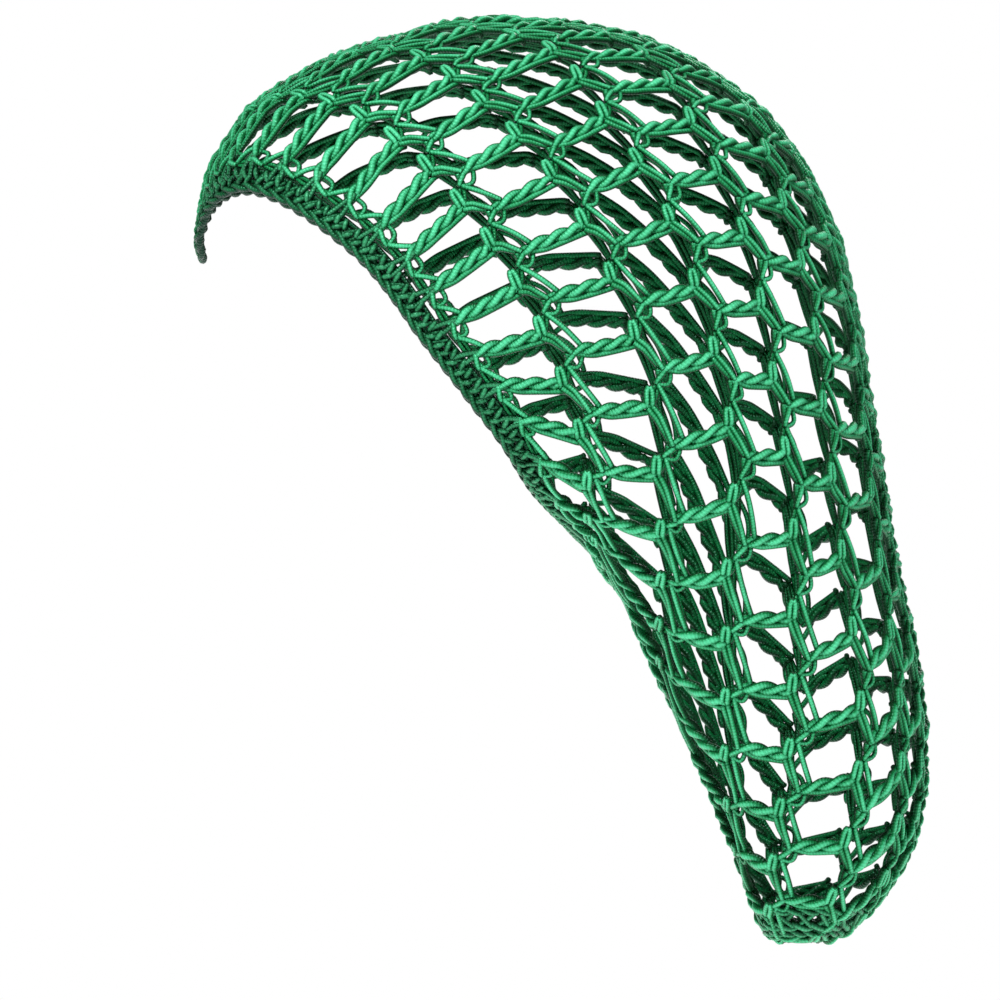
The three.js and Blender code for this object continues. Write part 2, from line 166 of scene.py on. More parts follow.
def half_width_at(along, drop):
    """Half width in millimetres, or -1 outside the form."""
    front, wide, back, half = level_at(drop)
    reach, power = reach_and_power(along < wide, front, wide, back)
    share = np.abs(along - wide) / np.maximum(reach, LEAST_REACH)
    rounded = np.power(np.clip(1 - np.power(np.clip(share, 0, 1), power), 0, 1), 1 / power)
    return np.where((share >= 1) | (drop <= 0) | (drop >= 1), -1.0, half * WIDTH / 2 * rounded)


def place(along, depth, drop):
    along, depth, drop = np.broadcast_arrays(along, depth, drop)
    return np.stack([FOREHEAD_X + along * LENGTH, -depth, NET_THICKNESS / 2 - drop * HEIGHT], -1)


def shares_of(points):
    return (points[..., 0] - FOREHEAD_X) / LENGTH, (NET_THICKNESS / 2 - points[..., 2]) / HEIGHT


def middle_at(drop):
    return place(level_at(drop)[1], 0 * drop, drop)


def inner_middle(points):
    return middle_at(np.clip(shares_of(points)[1], *MIDDLE_DROPS))


def onto_form(points):
    """The points moved onto the form along lines from its middle."""
    points = np.asarray(points, float)
    middle = inner_middle(points)
    outward = points - middle
    inner = np.full(points.shape[:-1], SEARCH_FROM)
    outer = np.full(points.shape[:-1], SEARCH_TO)
    for _ in range(SEARCH_HALVINGS):
        half = (inner + outer) / 2
        tried = middle + outward * half[..., None]
        inside = half_width_at(*shares_of(tried)) >= np.abs(tried[..., 1])
        inner = np.where(inside, half, inner)
        outer = np.where(inside, outer, half)
    return middle + outward * inner[..., None]


def outsideness(points):
    """Below 1 inside the form, 1 on it and more outside."""
    along, drop = shares_of(points)
    front, wide, back, half = level_at(np.clip(drop, *SLOPE_DROPS))
    reach, power = reach_and_power(along < wide, front, wide, back)
    lengthwise = np.abs(along - wide) / np.maximum(reach, LEAST_SLOPE_REACH)
    lateral = np.abs(points[..., 1]) / (half * WIDTH / 2)
    return np.power(np.power(lengthwise, power) + np.power(lateral, power), 1 / power)


def unit(vectors):
    return vectors / np.maximum(np.linalg.norm(vectors, axis=-1, keepdims=True), NO_LENGTH)


def outward_at(points):
    slopes = []
    for axis in range(3):
        shift = np.zeros(3)
        shift[axis] = SLOPE_STEP
        slopes.append(outsideness(points + shift) - outsideness(points - shift))
    return unit(np.stack(slopes, -1))


# Lines round the form, as points at even shares of the ring

RING = 960
HALF_RING = RING // 2 + 1
SIDE_SAMPLES = 241
LEAST_KNOT_STEP = 1e-4
BAND_REACH = 6  # ring points to each side that give the band's direction


def smooth_between(start, end, leaving, arriving, share):
    """A cubic from start to end with the given slopes over the whole way."""
    squared = share * share
    cubed = squared * share
    from_start = (2 * cubed - 3 * squared + 1) * start + (cubed - 2 * squared + share) * leaving
    from_end = (3 * squared - 2 * cubed) * end + (cubed - squared) * arriving
    return from_start + from_end


def closed_curve(points, places):
    """Points at shares of a smooth closed curve through the given ones."""
    points = np.array(points, float)
    count = len(points)
    made = []
    for spot in places:
        index = int(spot * count)
        before, start, end, after = (points[(index + shift) % count] for shift in (-1, 0, 1, 2))
        pairs = ((before, start), (start, end), (end, after))
        lengths = (np.linalg.norm(there - here) for here, there in pairs)
        first, middle, last = (max(length ** 0.5, LEAST_KNOT_STEP) for length in lengths)
        ahead = (end - start) / middle
        leaving = ((start - before) / first - (end - before) / (first + middle) + ahead) * middle
        arriving = (ahead - (after - start) / (middle + last) + (after - end) / last) * middle
        made.append(smooth_between(start, end, leaving, arriving, spot * count - index))
    return np.array(made)


def evenly(points, count):
    run = np.concatenate([[0], np.cumsum(np.linalg.norm(np.diff(points, axis=0), axis=1))])
    targets = np.linspace(0, run[-1], count)
    return np.stack([np.interp(targets, run, points[:, axis]) for axis in range(3)], -1)


def whole_ring(side):
    return np.concatenate([side, side[1:-1][::-1] * MIRROR])


def side_of(shares):
    """The near half of a line, from the top middle to the bottom middle."""
    near = []
    for column, (along, drop) in zip(POINT_COLUMNS, shares):
        on_middle = column in ("top", "bottom")
        depth = 0.0 if on_middle else max(0.0, float(half_width_at(np.array(along), np.array(drop))))
        near.append(place(along, depth, drop))
    far = [point * MIRROR for point in near[1:-1]][::-1]
    side = onto_form(closed_curve(near + far, np.linspace(0, 0.5, SIDE_SAMPLES)))
    side[0, 1] = side[-1, 1] = 0
    return evenly(side, HALF_RING)


def seam_side():
    drops = np.linspace(*SEAM_DROPS, SIDE_SAMPLES)
    return evenly(place(level_at(drops)[2], 0 * drops, drops), HALF_RING)


rim_ring = whole_ring(side_of(RIM))


def band_frame():
    """Directions across the band and out of it, and its inner edge, at each ring point."""
    run = unit(np.roll(rim_ring, -BAND_REACH, 0) - np.roll(rim_ring, BAND_REACH, 0))
    outward = unit(rim_ring - middle_at(shares_of(rim_ring)[1]))
    inward = unit(np.cross(outward, run))
    net_edge = onto_form(rim_ring + inward * BAND_WIDTH)
    across = unit(net_edge - rim_ring)
    return across, unit(np.cross(run, across)), net_edge


band_across, band_out, net_edge = band_frame()
rings = {0: net_edge, SEAM: whole_ring(seam_side())}
for line, shares in LINES.items():
    rings[line] = whole_ring(side_of(shares))
rings[SEAM - 1] = onto_form((rings[SEAM - 2] + rings[SEAM]) / 2)
ring_stack = np.stack([rings[line] for line in range(SEAM + 1)])
LAST_ROW = SEAM - 1e-6


def ring_points(row, spot):
    """Points of the form at rows counted from the band and shares of the ring."""
    row = np.clip(row, 0, LAST_ROW)
    line = np.floor(row).astype(int)
    between = (row - line)[..., None]
    step = np.mod(spot, 1) * RING
    first = np.floor(step).astype(int)
    onward = (step - first)[..., None]
    corners = []
    for line_at in (line, line + 1):
        start = ring_stack[line_at, first % RING]
        end = ring_stack[line_at, (first + 1) % RING]
        corners.append(start + (end - start) * onward)
    return onto_form(corners[0] + (corners[1] - corners[0]) * between)


# Where each bar starts and ends, as shares of the ring

LAP_SAMPLES = 1441


def smooth_ring(places, values):
    """Values at uneven places round a ring, joined by a smooth curve; the last place is a lap on."""
    lap = values[-1] - values[0]
    spots = np.linspace(0, 1, LAP_SAMPLES)
    trend = values - lap * places
    wide_places = np.concatenate([places[:-1] - 1, places[:-1], places + 1])
    wide_trend = np.concatenate([trend[:-1], trend[:-1], trend])
    slopes = np.gradient(wide_trend, wide_places)
    index = np.clip(np.searchsorted(wide_places, spots, side="right") - 1, 0, len(wide_places) - 2)
    gap = wide_places[index + 1] - wide_places[index]
    share = (spots - wide_places[index]) / gap
    leaving = gap * slopes[index]
    arriving = gap * slopes[index + 1]
    smooth = smooth_between(wide_trend[index], wide_trend[index + 1], leaving, arriving, share)
    return spots, smooth + lap * spots


def bars_on(passed, lag=None):
    """Ring share of every bar on a line, with the far side spaced like the near one."""
    near = np.array(passed, float)
    steps = np.diff(near)[::-1]
    far = near[-1] + np.cumsum(steps * (BARS_ROUND - (near[-1] - near[0])) / steps.sum())
    values = np.concatenate([near, far])
    if lag is not None:
        values = values - np.concatenate([lag, HIDDEN_LAG, lag[:1]])
    spots, counted = smooth_ring(np.linspace(0, 1, len(values)), values)
    bars = np.arange(BARS_ROUND)
    lap_bars = (bars - counted[0]) % BARS_ROUND + counted[0]
    return np.interp(lap_bars, counted, spots)


starts = np.stack([bars_on(BAND_PASSED)] + [bars_on(BARS_PASSED[line], LAG) for line in range(1, SEAM)])
ends = np.stack([bars_on(BARS_PASSED[line]) for line in range(1, SEAM + 1)])


def onward_to(spot, reference):
    """The same place round the ring, written less than half a lap from the reference."""
    return reference + (spot - reference + 0.5) % 1 - 0.5


# Yarn: a batch of strands is swept as tubes of equally many sections

YARN_SIDES = 8
CAP_LENGTH = 0.7  # share of a strand's radius
# Painted shade: the yarn's colour darkens from the outer ridges down to the inner faces over these depths
INSIDE_DEPTH = 2.0  # this far under the form the outside height is 0
OUTSIDE_RANGE = 5.0  # and this much further out it is 1


def painted_shade_height(points):
    """0 on the inner face of the knit, 1 on its outer ridges; the colour uses it to darken the inner faces as
    painted shade.
    """
    surface = onto_form(points)
    above = np.einsum("ij,ij->i", points - surface, unit(surface - inner_middle(surface)))
    return np.clip((above + INSIDE_DEPTH) / OUTSIDE_RANGE, 0, 1)


class Yarn:
    """Collects tubes of yarn and turns them into one mesh."""

    def __init__(self):
        self.points = []
        self.faces = []
        self.coords = []
        self.tones = []
        self.count = 0

    def add(self, path, facing, across_radius, out_radius, tone, sides=YARN_SIDES, closed=False):
        """path and facing are strands x sections x 3; radii are numbers or strands x sections."""
        strands, sections, _ = path.shape
        if closed:
            ahead = unit(np.roll(path, -1, 1) - np.roll(path, 1, 1))
        else:
            ahead = unit(np.gradient(path, axis=1))
        side = unit(np.cross(ahead, facing))
        out = np.cross(side, ahead)
        turn = np.arange(sides) * 2 * math.pi / sides
        wide = np.broadcast_to(across_radius, (strands, sections))[..., None, None]
        high = np.broadcast_to(out_radius, (strands, sections))[..., None, None]
        tube = path[:, :, None] + wide * np.cos(turn)[:, None] * side[:, :, None]
        tube = tube + high * np.sin(turn)[:, None] * out[:, :, None]
        grid = self.count + np.arange(strands * sections * sides).reshape(strands, sections, sides)
        self._skin(path, grid, sections if closed else sections - 1)
        strand_tones = np.broadcast_to(tone, (strands,))
        self._keep(tube.reshape(-1, 3), np.repeat(strand_tones, sections * sides))
        if not closed:
            cap = ahead * wide[..., 0] * CAP_LENGTH
            self._cap(grid[:, 0, ::-1], path[:, 0] - cap[:, 0], strand_tones)
            self._cap(grid[:, -1], path[:, -1] + cap[:, -1], strand_tones)

    def _skin(self, path, grid, last):
        """Quads between the first so many sections and those after them, with lengths along the strand."""
        sides = grid.shape[2]
        steps = np.linalg.norm(np.roll(path, -1, 1) - path, axis=-1)
        run = np.concatenate([np.zeros((len(path), 1)), np.cumsum(steps, 1)], 1)
        here = grid[:, :last]
        after = np.roll(grid, -1, 1)[:, :last]
        quads = np.stack([here, np.roll(here, -1, 2), np.roll(after, -1, 2), after], -1)
        around = np.broadcast_to(np.arange(sides) / sides, here.shape)
        next_side = around + 1 / sides
        start_run = np.broadcast_to(run[:, :last, None], here.shape)
        end_run = np.broadcast_to(run[:, 1:last + 1, None], here.shape)
        corners = ((around, start_run), (next_side, start_run), (next_side, end_run), (around, end_run))
        self.faces.append(quads.reshape(-1, 4))
        self.coords.append(np.stack([np.stack(corner, -1) for corner in corners], -2).reshape(-1, 2))

    def _keep(self, points, tones):
        self.points.append(points)
        self.tones.append(tones)
        self.count += len(points)

    def _cap(self, loops, tips, tones):
        """Closes one end of each tube with a low cone of quads, two sides to a quad."""
        tip = np.broadcast_to((self.count + np.arange(len(tips)))[:, None], loops[:, ::2].shape)
        quads = np.stack([loops[:, ::2], loops[:, 1::2], np.roll(loops, -2, 1)[:, ::2], tip], -1)
        self.faces.append(quads.reshape(-1, 4))
        self.coords.append(np.zeros((quads.size, 2)))
        self._keep(tips, tones)

    def mesh(self, name):
        points = np.concatenate(self.points)
        faces = np.concatenate(self.faces)
        coords = np.concatenate(self.coords)
        tones = np.concatenate(self.tones)
        mesh = bpy.data.meshes.new(name)
        mesh.vertices.add(len(points))
        mesh.vertices.foreach_set("co", (points * METRES).astype(np.float32).ravel())
        mesh.loops.add(faces.size)
        mesh.loops.foreach_set("vertex_index", faces.astype(np.int32).ravel())
        mesh.polygons.add(len(faces))
        mesh.polygons.foreach_set("loop_start", np.arange(0, faces.size, 4, dtype=np.int32))
        mesh.uv_layers.new(name="yarn")
        mesh.uv_layers["yarn"].data.foreach_set("uv", coords.astype(np.float32).ravel())
        # The strand tones and a painted shade, darkest on the inner faces, are kept on the points
        tone_and_painted_shade = mesh.attributes.new("tone_and_painted_shade", "FLOAT_COLOR", "POINT")
        colour = np.stack([tones, painted_shade_height(points), 0 * tones, 0 * tones + 1], -1)
        tone_and_painted_shade.data.foreach_set("color", colour.astype(np.float32).ravel())
        mesh.update(calc_edges=True)
        mesh.validate()
        mesh.polygons.foreach_set("use_smooth", np.ones(len(mesh.polygons), bool))
        piece = bpy.data.objects.new(name, mesh)
        bpy.context.scene.collection.objects.link(piece)
        return piece


# Paths on the form between two ring places, with the directions that stitches are laid in

def path_between(row_a, spot_a, row_b, spot_b, sections):
    """Points, up and out for straight runs on the form, as strands x sections x 3."""
    share = np.linspace(0, 1, sections)
    rows = row_a[:, None] + (row_b - row_a)[:, None] * share
    spots = spot_a[:, None] + (spot_b - spot_a)[:, None] * share
    points = ring_points(rows, spots)
    ahead = unit(np.gradient(points, axis=1))
    up = unit(np.cross(outward_at(points), ahead))
    return points, up, np.cross(ahead, up)


def eased(value):
    value = np.clip(value, 0, 1)
    return value * value * (3 - 2 * value)


def laid(base, up_shift, out_shift):
    """A strand beside a path, shifted by millimetres up and out."""
    points, up, out = base
    shape = points.shape[:2]
    up_shift = np.broadcast_to(up_shift, shape)[..., None]
    out_shift = np.broadcast_to(out_shift, shape)[..., None]
    return points + up * up_shift + out * out_shift


SEED = 7
rng = np.random.default_rng(SEED)


# Places on the bars of the net, which lie in stacks from the band to the seam

ring_lengths = np.linalg.norm(np.roll(ring_stack, -1, 1) - ring_stack, axis=-1).sum(1)
stack = np.repeat(np.arange(1, SEAM + 1), BARS_ROUND)
bar = np.tile(np.arange(BARS_ROUND), SEAM)
next_bar = (bar + 1) % BARS_ROUND


def start_row_of(stacks):
    return np.where(stacks == 1, FIRST_BAR_START, stacks - 1 + BAR_START)


def end_row_of(stacks):
    return np.where(stacks == SEAM, SEAM - SHORT_OF_SEAM, stacks + BAR_END)


def on_bar(stacks, bars, share, lift_mm=0.0):
    """Row and ring share of a place along a bar, lifted towards the bar before it."""
    first = starts[stacks - 1, bars]
    last = onward_to(ends[stacks - 1, bars], first)
    row = start_row_of(stacks) + (end_row_of(stacks) - start_row_of(stacks)) * share
    return row, first + (last - first) * share - lift_mm / ring_lengths[stacks - 1]


def arch(share):
    """0 at both ends and 1 in the middle."""
    return np.sin(math.pi * share)


# Bars

# Two strands twist round each other along the upper edge, and a third runs straight along
# the lower edge. Lengths are in millimetres and places are shares of a bar.
BAR_SECTIONS = 21
FULL_BAR = 15.0
SLIMMEST_BAR = 0.6
FORK_END = 0.25  # the twisted strands have spread by here
SWELL_END = 0.3  # and are at their thickest from here
SQUARE_START = 0.84  # where they begin to lie side by side
SQUARE_SHARE = 0.14
DIVE_START = 0.93  # where all three begin to go under the chain
DIVE_SHARE = 0.07
DIVE_DEPTH = 1.9
FIRST_TURN = 0.15  # half turns, as is the lean
LEAN_SPREAD = 0.3
TURN_SPREAD = (0.93, 1.07)
TWIST_RISE = 0.75
TWIST_WIDTH = 0.75
TWIST_WIDENING = 0.45
TWIST_OUT = 0.6
TWIST_DEPTH = 0.5
TWIST_DEEPENING = 0.75
SQUARE_HEIGHTS = (2.1, 0.1)
SQUARE_THINNING = 0.25
TWISTED_RADIUS = 1.02
TWISTED_SWELL = 0.46
RADIUS_SPREAD = (0.92, 1.08)
STRAIGHT_UP = -0.2
STRAIGHT_FALL = 1.75
STRAIGHT_FALL_END = 0.42
STRAIGHT_SPREAD = 0.15
STRAIGHT_OUT = 0.1
STRAIGHT_ARCH = 0.35
STRAIGHT_RADIUS = 1.08
STRAIGHT_SWELL = 0.14
BAR_FLATNESS = 0.92
BAR_TONES = (0.3, 0.7)


def lay_bars():
    start_row, start_spot = on_bar(stack, bar, 0.0)
    end_row, end_spot = on_bar(stack, bar, 1.0)
    bar_path = path_between(start_row, start_spot, end_row, end_spot, BAR_SECTIONS)
    length = np.linalg.norm(np.diff(bar_path[0], axis=1), axis=-1).sum(1)
    on_near_side = bar_path[0][:, :, 1].mean(1) < 0
    share = np.linspace(0, 1, BAR_SECTIONS)
    slim = np.clip(length / FULL_BAR, SLIMMEST_BAR, 1)[:, None]
    fork = eased(share / FORK_END)
    square = eased((share - SQUARE_START) / SQUARE_SHARE)
    dive = DIVE_DEPTH * eased((share - DIVE_START) / DIVE_SHARE)
    lean = rng.uniform(-LEAN_SPREAD, LEAN_SPREAD, (len(bar), 1))
    turns = TWIST_PER_MM * (length * rng.uniform(*TURN_SPREAD, len(bar)))[:, None] * share

    def twisted(strand):
        angle = math.pi * (strand + FIRST_TURN + lean) - 2 * math.pi * turns
        up = TWIST_RISE * fork + (TWIST_WIDTH + TWIST_WIDENING * fork) * np.cos(angle)
        up = up * (1 - square) + SQUARE_HEIGHTS[strand] * square
        out = TWIST_OUT + (TWIST_DEPTH + TWIST_DEEPENING * fork) * np.sin(angle) * (1 - square) - dive
        bulge = rng.uniform(*RADIUS_SPREAD, (len(bar), 1))
        radius = (TWISTED_RADIUS + TWISTED_SWELL * eased(share / SWELL_END)) * bulge
        return up, out, radius - SQUARE_THINNING * square

    def straight():
        up = STRAIGHT_UP - STRAIGHT_FALL * eased(share / STRAIGHT_FALL_END)
        up = up + rng.uniform(-STRAIGHT_SPREAD, STRAIGHT_SPREAD, (len(bar), 1))
        out = STRAIGHT_OUT + STRAIGHT_ARCH * arch(share) - dive
        return up, out, STRAIGHT_RADIUS + STRAIGHT_SWELL * arch(share)

    near_yarn = Yarn()
    far_yarn = Yarn()
    for strand in range(3):
        up, out, radius = straight() if strand == 2 else twisted(strand)
        path = laid(bar_path, up * slim, out)
        radius = np.broadcast_to(radius * slim, path.shape[:2])
        tones = rng.uniform(*BAR_TONES, len(bar))
        for yarn, chosen in ((near_yarn, on_near_side), (far_yarn, ~on_near_side)):
            yarn.add(path[chosen], bar_path[2][chosen], radius[chosen], radius[chosen] * BAR_FLATNESS,
                     tone=tones[chosen])
    return near_yarn, far_yarn


# Double chains lead from the end of a bar to the start of the next stack's bar

CHAIN_SECTIONS = 9
CHAIN_FROM = 0.97  # share of the bar before it
CHAIN_TO = 0.04  # share of the bar after it
FULL_CHAIN = 9.0
SLIMMEST_CHAIN = 0.65
CHAIN_HALF_TURNS = 0.5
CHAIN_FIRST_TURN = -0.08
CHAIN_SPREAD = 1.0
CHAIN_NARROWING = 0.25
CHAIN_OUT = 0.5
CHAIN_DEPTH = 0.75
CHAIN_RISE = 0.3
CHAIN_RADIUS = 1.15
CHAIN_THINNING = 0.15
CHAIN_FLATNESS = 0.95
CHAIN_TONES = (0.2, 0.6)


def lay_chains(yarn):
    before_seam = stack < SEAM
    row_a, spot_a = on_bar(stack[before_seam], bar[before_seam], CHAIN_FROM)
    row_b, spot_b = on_bar(stack[before_seam] + 1, bar[before_seam], CHAIN_TO)
    chain_path = path_between(row_a, spot_a, row_b, onward_to(spot_b, spot_a), CHAIN_SECTIONS)
    length = np.linalg.norm(np.diff(chain_path[0], axis=1), axis=-1).sum(1)
    share = np.linspace(0, 1, CHAIN_SECTIONS)
    slim = np.clip(length / FULL_CHAIN, SLIMMEST_CHAIN, 1)[:, None]
    for strand in range(2):
        angle = math.pi * (strand + CHAIN_HALF_TURNS * share + CHAIN_FIRST_TURN)
        up = (CHAIN_SPREAD - CHAIN_NARROWING * share) * np.cos(angle) * slim
        out = CHAIN_OUT + CHAIN_DEPTH * np.sin(angle) + CHAIN_RISE * share
        radius = (CHAIN_RADIUS - CHAIN_THINNING * share) * slim
        yarn.add(laid(chain_path, up, out), chain_path[2], radius, radius * CHAIN_FLATNESS,
                 tone=rng.uniform(*CHAIN_TONES, len(chain_path[0])))


# Knots

# Under each bar's start a knot of two strands runs down the line, and two more strands
# carry the line on to the end of the bar below it, which is in the stack before.
KNOT_SECTIONS = 8
KNOT_FROM = 0.02  # share of the bar above
BAR_BELOW_END = 0.99  # share of the bar below
KNOT_HALF_TURNS = 0.9
KNOT_SPREAD = 1.1
KNOT_NARROWING = 0.35
KNOT_OUT = 0.6
KNOT_DEPTH = 0.8
KNOT_RADIUS = 1.2
KNOT_THINNING = 0.25
KNOT_TONES = (0.15, 0.5)
DROP_SECTIONS = 6
DROP_SPREAD = 0.35
DROP_BOW = 0.55
DROP_OUT = -0.1
DROP_FALL = 0.4
DROP_RADIUS = 0.95
DROP_SIDES = 6
DROP_TONES = (0.1, 0.4)

# The first stack has no stack before it, so its lines lead to the start of its next bar
above_row, above_spot = on_bar(stack, bar, KNOT_FROM)
below_row, below_spot = on_bar(np.maximum(stack - 1, 1), next_bar, np.where(stack == 1, 0.0, BAR_BELOW_END))
below_spot = onward_to(below_spot, above_spot)
knot_row = above_row + (below_row - above_row) * KNOT_SHARE
knot_spot = above_spot + (below_spot - above_spot) * KNOT_SHARE


def lay_knots(yarn):
    knot_path = path_between(above_row, above_spot, knot_row, knot_spot, KNOT_SECTIONS)
    share = np.linspace(0, 1, KNOT_SECTIONS)
    for strand in range(2):
        angle = math.pi * (strand + KNOT_HALF_TURNS * share)
        up = KNOT_SPREAD * np.cos(angle) * (1 - KNOT_NARROWING * share)
        path = laid(knot_path, up, KNOT_OUT + KNOT_DEPTH * np.sin(angle))
        radius = KNOT_RADIUS - KNOT_THINNING * share[None]
        yarn.add(path, knot_path[2], radius, radius, tone=rng.uniform(*KNOT_TONES, len(path)))

    drop_path = path_between(knot_row, knot_spot, below_row, below_spot, DROP_SECTIONS)
    share = np.linspace(0, 1, DROP_SECTIONS)
    for strand in range(2):
        sway = (1 - 2 * strand) * (DROP_SPREAD + DROP_BOW * arch(share))
        path = laid(drop_path, sway, DROP_OUT - DROP_FALL * share)
        yarn.add(path, drop_path[2], DROP_RADIUS, DROP_RADIUS, sides=DROP_SIDES,
                 tone=rng.uniform(*DROP_TONES, len(path)))


# Nubs: a short loop stands on the end of each bar, in front of the line

NUB_SECTIONS = 12
NUB_LONGEST = 0.78  # share of the way to the bar above
NUB_ROW_BACK = 0.02
NUB_ROW_SLANT = 0.03
NUB_FOOT = 0.6
NUB_SPREAD = 1.02
NUB_ROUND_START = 0.6
NUB_ROUND_SHARE = 0.4
NUB_LEAST_SQUARE = 0.02  # least square of its share of the width
NUB_OUT = 1.5
NUB_RISE = 1.6
NUB_RISE_END = 0.3
NUB_FALL = 0.3
NUB_RADIUS = 1.12
FULL_NUB_GAP = 9.0
LEAST_GAP = 1.0
SLIMMEST_NUB = 0.7
NUB_TONES = (0.4, 0.75)


def lay_nubs(yarn):
    nub = stack > 1
    ring_length = ring_lengths[stack[nub] - 1]
    gap = np.abs(below_spot - above_spot)[nub] * ring_length
    reach = np.minimum(NUB_LENGTH / np.maximum(gap, LEAST_GAP), NUB_LONGEST)
    row = below_row[nub] - NUB_ROW_BACK
    foot = below_spot[nub] + NUB_FOOT / ring_length
    tip = below_spot[nub] + (above_spot - below_spot)[nub] * reach
    nub_path = path_between(row, foot, row + NUB_ROW_SLANT, tip, NUB_SECTIONS)
    share = np.linspace(0, 1, NUB_SECTIONS)
    past_round = ((share - NUB_ROUND_START) / NUB_ROUND_SHARE).clip(0, 1)
    width = NUB_SPREAD * np.sqrt(np.clip(1 - past_round**2, NUB_LEAST_SQUARE, 1))
    out = NUB_OUT - NUB_RISE * (1 - eased(share / NUB_RISE_END)) - NUB_FALL * share
    radius = NUB_RADIUS * np.clip(gap / FULL_NUB_GAP, SLIMMEST_NUB, 1)[:, None] + 0 * share
    for strand in range(2):
        path = laid(nub_path, (1 - 2 * strand) * width, out)
        yarn.add(path, nub_path[2], radius, radius, tone=rng.uniform(*NUB_TONES, len(path)))


# Thin strands

# One runs from each knot down to the top edge of the next bar of its stack, and one curls
# from under each bar's start back to the knot below it.
THIN_SECTIONS = 11
LANDING_LIFT = 2.0
THIN_SWAY = 0.5
THIN_OUT = 0.5
THIN_BOW = 0.7
THIN_TONES = (0.45, 0.8)
CURL_SECTIONS = 10
CURL_FROM = 0.17  # share of the bar
CURL_LIFT = -1.8
CURL_BOW = 2.3
CURL_OUT = 0.2
CURL_RISE = 0.5
CURL_RADIUS = 0.95
CURL_SIDES = 6
CURL_TONES = (0.35, 0.65)


def lay_thin_strands(yarn):
    land_row, land_spot = on_bar(stack, next_bar, LANDING, LANDING_LIFT)
    thin_path = path_between(knot_row, knot_spot, land_row, onward_to(land_spot, knot_spot), THIN_SECTIONS)
    share = np.linspace(0, 1, THIN_SECTIONS)
    sway = rng.uniform(-THIN_SWAY, THIN_SWAY, (len(stack), 1)) * arch(share)
    yarn.add(laid(thin_path, sway, THIN_OUT + THIN_BOW * arch(share)), thin_path[2], THIN_STRAND, THIN_STRAND,
             tone=rng.uniform(*THIN_TONES, len(stack)))

    curl_row, curl_spot = on_bar(stack, bar, CURL_FROM, CURL_LIFT)
    curl_path = path_between(curl_row, curl_spot, knot_row, onward_to(knot_spot, curl_spot), CURL_SECTIONS)
    share = np.linspace(0, 1, CURL_SECTIONS)
    yarn.add(laid(curl_path, CURL_BOW * arch(share), CURL_OUT + CURL_RISE * share), curl_path[2], CURL_RADIUS,
             CURL_RADIUS, sides=CURL_SIDES, tone=rng.uniform(*CURL_TONES, len(stack)))


# Ropes

ROPE_FLATNESS = 0.8


def rope(yarn, line, facing, radius, spread, period, tone, closed=False):
    """Two strands twisted along one line; a closed line comes with its first point last."""
    run = np.concatenate([[0], np.cumsum(np.linalg.norm(np.diff(line, axis=0), axis=1))])
    turned = run / period
    if closed:
        turned = run / run[-1] * round(run[-1] / period)
    ahead = unit(np.gradient(line, axis=0))
    up = unit(np.cross(facing, ahead))
    out = np.cross(ahead, up)
    kept = slice(None, -1) if closed else slice(None)
    for strand in range(2):
        angle = 2 * math.pi * (strand / 2 + turned)
        up_shift = (spread * np.cos(angle))[:, None]
        out_shift = (spread * ROPE_FLATNESS * np.sin(angle))[:, None]
        path = line + up * up_shift + out * out_shift
        yarn.add(path[None, kept], out[None, kept], radius, radius, closed=closed, tone=tone)


def respaced(line, step, closed=False):
    """The line with points at even steps; a closed one comes back with its first point last."""
    if closed:
        line = np.concatenate([line, line[:1]])
    length = np.linalg.norm(np.diff(line, axis=0), axis=1).sum()
    return evenly(line, int(length / step) + 1)


# The seam down the middle of the back holds the last stack's ends

SEAM_STEP = 1.2
SEAM_LIFT = 0.4
SEAM_RADIUS = 1.25
SEAM_TWIST = 10.0
SEAM_TONE = 0.3


def lay_seam(yarn):
    line = respaced(rings[SEAM][:HALF_RING], SEAM_STEP)
    out = outward_at(line)
    rope(yarn, line + out * SEAM_LIFT, out, SEAM_RADIUS, SEAM_RADIUS, SEAM_TWIST, tone=SEAM_TONE)


# The band and its edge rope

rim_length = np.linalg.norm(np.roll(rim_ring, -1, 0) - rim_ring, axis=1).sum()


def band_at(spot, across_mm, out_mm):
    """Points on the band at ring shares, millimetres across from the free edge and outwards."""
    step = np.mod(spot, 1) * RING
    first = np.floor(step).astype(int)
    onward = (step - first)[..., None]
    values = []
    for table in (rim_ring, band_across, band_out):
        values.append(table[first % RING] * (1 - onward) + table[(first + 1) % RING] * onward)
    across_mm = np.asarray(across_mm)[..., None]
    out_mm = np.asarray(out_mm)[..., None]
    return values[0] + values[1] * across_mm + values[2] * out_mm, unit(values[2])


def band_round(across_mm, out_mm, step):
    spots = np.linspace(0, 1, int(rim_length / step) + 1)
    return band_at(spots, across_mm + 0 * spots, out_mm + 0 * spots)


RIM_ACROSS = 1.5
RIM_STEP = 0.9
RIM_RADIUS = 1.1
RIM_SPREAD = 0.85
RIM_TONE = 0.3


def lay_rim(yarn):
    points, facing = band_round(RIM_ACROSS, 0.0, RIM_STEP)
    rope(yarn, points, facing, RIM_RADIUS, RIM_SPREAD, RIM_TWIST, closed=True, tone=RIM_TONE)


